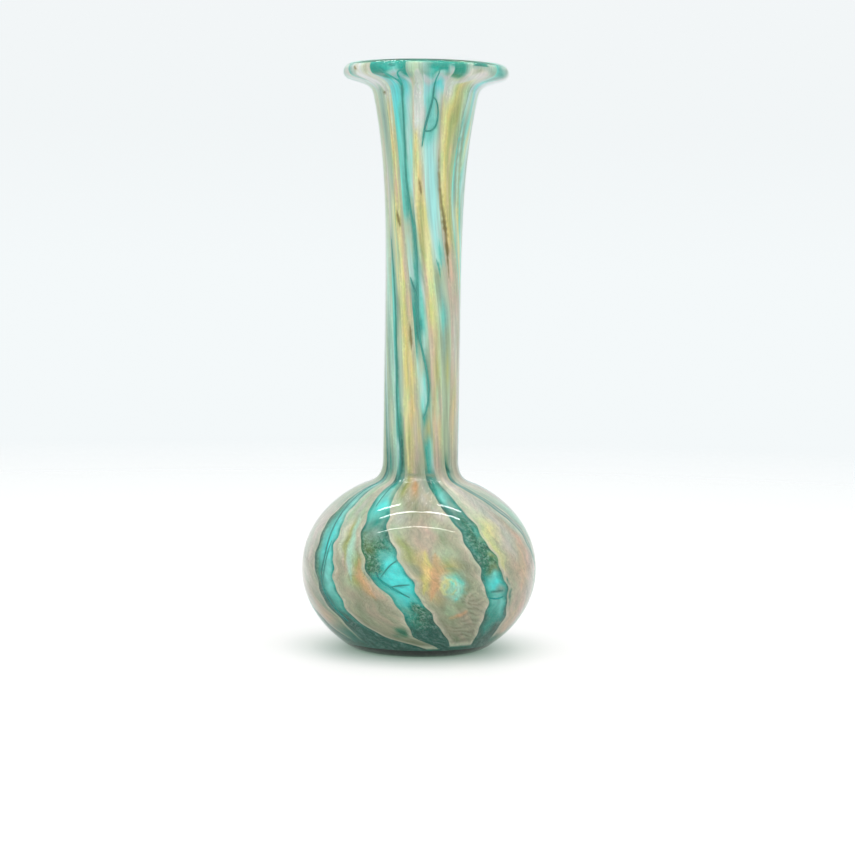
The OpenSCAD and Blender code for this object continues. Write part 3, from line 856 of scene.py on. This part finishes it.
# Each is the CAD thread it stands for, its radius in mm, and the (angle, height) points of its way
THREADS = [
    ("thread_1", 0.26, (-59, 57), (-57, 48), (-54.5, 40), (-53, 32), (-54, 25), (-49, 18), (-40, 12)),
    ("thread_1", 0.18, (-51, 37), (-51.5, 30), (-52.5, 25)),
    ("thread_2", 0.26, (-58, 132), (-48, 113), (-43, 95), (-41, 80), (-34, 67), (-31, 59), (-31, 48)),
    ("thread_2", 0.3, (-20.5, 29), (-18.5, 26.8), (-13, 24.5), (-4, 21.5)),
    ("thread_2", 0.17, (-18, 27.5), (-14, 31), (-10, 33)),
    ("thread_2", 0.17, (-13, 24.6), (-9, 25.2), (-4, 25.5)),
    ("thread_3", 0.36, (-26, 181.5), (-27, 176), (-27.5, 162), (-26.5, 150), (-20, 141), (-12, 130),
     (-9, 119), (-7.5, 108), (-3, 100), (7, 91), (11.5, 84), (8, 78), (3, 75)),
    ("thread_3", 0.28, (-34, 184.5), (-30, 183), (-26, 180), (-26.5, 176)),
    ("thread_3", 0.28, (-15, 184.5), (-21, 183), (-25.5, 180), (-26.5, 176)),
    ("thread_3", 0.24, (-20, 120), (-15, 117), (-9, 114.5)),
    ("thread_4", 0.34, (9.5, 184.6), (8, 176.5), (4, 171.5), (1, 168.5), (-1.5, 165.8), (-4, 161)),
    ("thread_4", 0.26, (8, 176.5), (12.5, 175), (15, 171.5), (13.5, 168), (9, 166.3), (3, 165.8),
     (-1.5, 166)),
    ("thread_4", 0.24, (35, 21), (41, 20.2), (47, 21))]


def thread_tube(name, radius, route, sides=10):
    """A round thread of glass that lies under the clear skin and thins out towards its ends."""
    route = np.array(route, float)
    steps = np.linspace(0, len(route) - 1, 12 * len(route))
    angle = rounded(steps, route[:, 0])
    z = rounded(steps, route[:, 1])
    depth_r = np.interp(z, OUTSIDE[STATIONS, 1], THREAD_LINE[STATIONS, 0])
    way = turned(np.stack([depth_r, z], -1), angle)
    tangent = np.gradient(way, axis=0)
    tangent /= np.linalg.norm(tangent, axis=1)[:, None]
    side = np.cross(tangent, way * (1, 1, 0))
    side /= np.linalg.norm(side, axis=1)[:, None]
    lift = np.cross(side, tangent)
    t = np.linspace(0, 1, len(steps))
    thick = radius * (0.3 + 0.7 * np.sqrt(np.sin(np.pi * np.clip(t, 0.01, 0.99))))
    turn = np.linspace(0, 2 * math.pi, sides, endpoint=False)
    rings = way[:, None] + thick[:, None, None] * (side[:, None] * np.cos(turn)[None, :, None]
                                                   + lift[:, None] * np.sin(turn)[None, :, None])
    verts = np.concatenate([rings.reshape(-1, 3), way[:1], way[-1:]]) * MM
    last = (len(steps) - 1) * sides
    faces = fan_faces(len(verts) - 2, 0, sides) + fan_faces(len(verts) - 1, last, sides)
    for low in range(0, last, sides):
        faces += ring_faces(low, low + sides, sides)
    piece = new_piece(name, verts, faces)
    finish_mesh(piece, sharp=70)
    return piece


def rounded(steps, values):
    """A curve without corners through the values, which are one step apart."""
    padded = np.concatenate([[2 * values[0] - values[1]], values, [2 * values[-1] - values[-2]]])
    i = np.clip(steps.astype(int), 0, len(values) - 2)
    t = steps - i
    a, b, c, d = (padded[i + shift] for shift in range(4))
    return 0.5 * (2 * b + (c - a) * t + (2 * a - 5 * b + 4 * c - d) * t**2
                  + (3 * b - a - 3 * c + d) * t**3)


def make_threads():
    glass = make_thread_glass()
    for number, (node, radius, *route) in enumerate(THREADS, 1):
        tube = thread_tube(f"dark_thread_{number}", radius, route)
        tube.data.materials.append(glass)
        place(tube, "dark_thread_glass", node)


def make_strip(name, slot, node, glass, edges, columns, paint):
    strip = wall_piece(name, edges, columns, paint)
    strip.data.materials.append(glass)
    place(strip, slot, node)


def make_pattern():
    ribbon_glass = make_ribbon_glass()
    band_glass = make_band_glass()
    for k in range(8):
        far = k > 4
        make_strip(f"tan_ribbon_{k + 1}", "silvered_tan_glass", f"ribbon_{k + 1}", ribbon_glass,
                   ribbon_edges(k), FAR_RIBBON_COLUMNS if far else RIBBON_COLUMNS,
                   painter(RIBBON_GRAIN[RIBBON_LIKE[k]], far, RIBBON_RIM))
        make_strip(f"aqua_band_{k + 1}", "aqua_band_glass", f"band_{k + 1}", band_glass,
                   band_edges(k), BAND_COLUMNS if 0 < k < 6 else FAR_BAND_COLUMNS,
                   painter(BAND_GRAIN[BAND_LIKE[k]], far or k == 0, BAND_RIM))


# ---- stage ----

# The camera looks a little down at the vase and leans a little, in metres and degrees
CAMERA_AT = (0.0021, -0.7254, 0.1235)
CAMERA_DOWN, CAMERA_ROLL = 4.10, 0.86
SENSOR_MM, LENS_MM = 36, 94.7

# The studio's light on the camera's side, counted from its light behind the vase
FRONT_LIGHT = 1.55

# Height of the lamps, and each lamp's name, left end, right end, place from front to back,
# thickness, and brightness counted from the white of the tent
LAMP_Z = 0.45
LAMPS = [("strip_front", -0.30, 0.24, -0.18, 0.011, 10), ("strip_over", -0.22, 0.225, -0.02, 0.016, 14),
         ("strip_back_left", -0.21, -0.09, 0.07, 0.016, 14),
         ("strip_back_right", 0.08, 0.21, 0.07, 0.016, 14)]


def make_camera():
    data = bpy.data.cameras.new("camera")
    data.sensor_width = SENSOR_MM
    data.lens = LENS_MM
    data.clip_start = 0.01
    camera = bpy.data.objects.new("camera", data)
    camera.location = CAMERA_AT
    pitch, roll = math.radians(90 - CAMERA_DOWN), math.radians(CAMERA_ROLL)
    look = Euler((pitch, 0, 0)).to_matrix() @ Euler((0, 0, roll)).to_matrix()
    camera.rotation_euler = look.to_euler()
    bpy.context.scene.collection.objects.link(camera)
    bpy.context.scene.camera = camera


def make_world():
    """A white studio tent: greyer behind the vase, and brightest overhead and in front."""
    world = bpy.data.worlds.new("studio")
    bpy.context.scene.world = world
    n = Nodes("studio", world)
    way = n.add("SeparateXYZ", i0=n.add("TexCoord").outputs["Generated"])
    ramp = n.add("ValToRGB", i0=way.outputs[2])
    low, high = ramp.color_ramp.elements
    low.position, low.color = 0.0, (0.905, 0.945, 0.955, 1)
    high.position, high.color = 0.5, (1.2, 1.2, 1.2, 1)
    haze = ramp.color_ramp.elements.new(0.06)
    haze.color = (0.885, 0.92, 0.93, 1)
    wall = ramp.color_ramp.elements.new(0.2)
    wall.color = (0.9, 0.925, 0.935, 1)
    front = scaled(n, way.outputs[1], -0.9, 0.0, FRONT_LIGHT, 1.0)
    n.surface(n.add("Background", Color=ramp.outputs[0], Strength=front))


def make_floor():
    """A pale round floor, lit from below as well, that fades into the studio far from the vase. Under the
    vase its own light is dimmed and turned green, a painted shadow tinted like light that has come down
    through the glass, and right under the foot it is a painted pool of bright teal light."""
    n = Nodes("pale_floor")
    place_at = n.add("TexCoord").outputs["Object"]
    distance = n.add("VectorMath", {"operation": "LENGTH"}, i0=place_at).outputs["Value"]
    fade = scaled(n, distance, 0.25, 0.85, 0.0, 1.0)
    # Painted shadow: under the vase the floor's own light dims and turns green.
    shadow_and_tone = mixed_colour(n, scaled(n, distance, 0.019, 0.045, 1.0, 0.0),
                          (1.0, 1.0, 0.985, 1), (0.42, 0.66, 0.5, 1))
    # Painted light: right under the foot the floor glows teal.
    glow = mixed_colour(n, scaled(n, distance, 0.0185, 0.0195, 1.0, 0.0), shadow_and_tone, (0.05, 1.3, 1.1, 1))
    solid = n.add("BsdfPrincipled", Base_Color=(0.5, 0.5, 0.495, 1), Roughness=0.6,
                  Emission_Color=glow, Emission_Strength=0.33)
    clear = n.add("BsdfTransparent")
    n.surface(n.add("MixShader", i0=fade, i1=solid.outputs[0], i2=clear.outputs[0]))
    bm = bmesh.new()
    bmesh.ops.create_circle(bm, cap_ends=True, segments=96, radius=1.0)
    mesh = bpy.data.meshes.new("floor")
    bm.to_mesh(mesh)
    bm.free()
    mesh.materials.append(n.owner)
    floor = bpy.data.objects.new("floor", mesh)
    floor.location = (0, 0, -0.00005)
    bpy.context.scene.collection.objects.link(floor)


def make_lamp(name, left, right, back, thick, brightness):
    """A thin lamp across the roof of the tent, which faces the foot of the vase."""
    data = bpy.data.lights.new(name, "AREA")
    data.shape = "RECTANGLE"
    data.size = right - left
    data.size_y = thick
    data.energy = brightness * math.pi * data.size * data.size_y
    lamp = bpy.data.objects.new(name, data)
    lamp.location = ((left + right) / 2, back, LAMP_Z)
    lamp.rotation_euler = (-math.atan2(back, LAMP_Z), 0, 0)
    bpy.context.scene.collection.objects.link(lamp)


def make_settings():
    scene = bpy.context.scene
    scene.view_settings.view_transform = "Standard"
    scene.cycles.transparent_max_bounces = 64
    scene.cycles.max_bounces = 24
    scene.cycles.transmission_bounces = 24
    scene.cycles.diffuse_bounces = 8


make_camera()
make_world()
make_floor()
for lamp in LAMPS:
    make_lamp(*lamp)
make_settings()
make_casing()
make_gather()
make_pattern()
make_threads()
